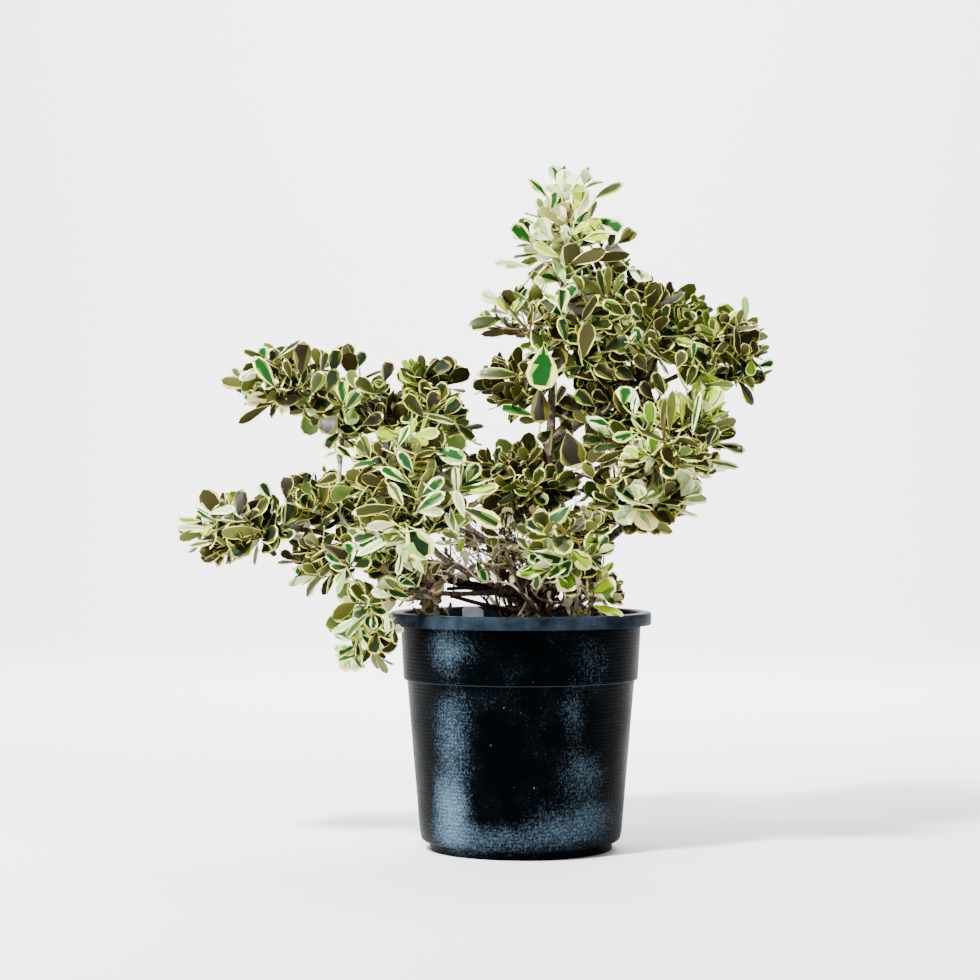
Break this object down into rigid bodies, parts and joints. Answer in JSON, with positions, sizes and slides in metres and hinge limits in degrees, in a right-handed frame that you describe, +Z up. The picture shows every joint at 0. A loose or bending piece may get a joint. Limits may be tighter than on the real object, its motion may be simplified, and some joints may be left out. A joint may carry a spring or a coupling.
{
  "type": "potted variegated coprosma shrub",
  "caption": "Open evergreen shrub with sweeping side boughs and small cream-edged leaves, growing in a round black nursery pot that stands on its flat underside",
  "frame": {"origin": "the middle of the pot's flat underside, on the pot's axis", "axes": "+Z up along the pot's axis, the longest extent; +X to the right as seen from the front and along the crown's widest spread; -Y towards the front"},
  "size_m": [0.686, 0.4136, 0.788],
  "materials": {
    "pot_black": "thin moulded black polypropylene with a bluish sheen, fine mould rings and dust",
    "potting_mix": "dark, crumbly potting mix",
    "label_plastic": "thin blank plastic plant label, pale blue-white",
    "bark": "brown, finely fissured bark on slim woody stems",
    "leaf_green": "glossy leaves, deep green with a cream margin, olive-beige beneath"
  },
  "bodies": {
    "root": {"pot": "pot_black", "soil": "potting_mix", "label": "label_plastic", "trunk": "bark", "bough_low_left": "bark", "bough_low_left_mid": "bark", "bough_low_left_under": "bark", "bough_upper_left": "bark", "bough_upper_left_tip": "bark", "bough_crest": "bark", "bough_front_left": "bark", "bough_hanging_left": "bark", "bough_right": "bark", "bough_right_low": "bark", "bough_front_right": "bark", "bough_right_upper": "bark", "bough_upper_right": "bark", "bough_right_inner": "bark", "bough_back_right": "bark", "bough_back_upper": "bark", "bough_front_low": "bark", "bough_back_centre": "bark", "bough_back_left": "bark", "bough_rim_right": "bark", "leaves_low_left_tip": "leaf_green", "leaves_low_left_mid": "leaf_green", "leaves_low_left_under": "leaf_green", "leaves_upper_left_tip": "leaf_green", "leaves_upper_left_mid": "leaf_green", "leaves_crest_left": "leaf_green", "leaves_front_left": "leaf_green", "leaves_hanging_left": "leaf_green", "leaves_crown_top": "leaf_green", "leaves_crown_shoulder": "leaf_green", "leaves_crown_left": "leaf_green", "leaves_crown_low_left": "leaf_green", "leaves_crown_mid": "leaf_green", "leaves_upper_right": "leaf_green", "leaves_far_right": "leaf_green", "leaves_right_mid": "leaf_green", "leaves_right_inner": "leaf_green", "leaves_right_low": "leaf_green", "leaves_centre_low": "leaf_green", "leaves_front_low": "leaf_green", "leaves_rim_right": "leaf_green", "leaves_back_left": "leaf_green", "leaves_back_centre": "leaf_green", "leaves_back_right": "leaf_green", "leaves_back_upper": "leaf_green", "leaves_front_right": "leaf_green"}
  },
  "joints": []
}
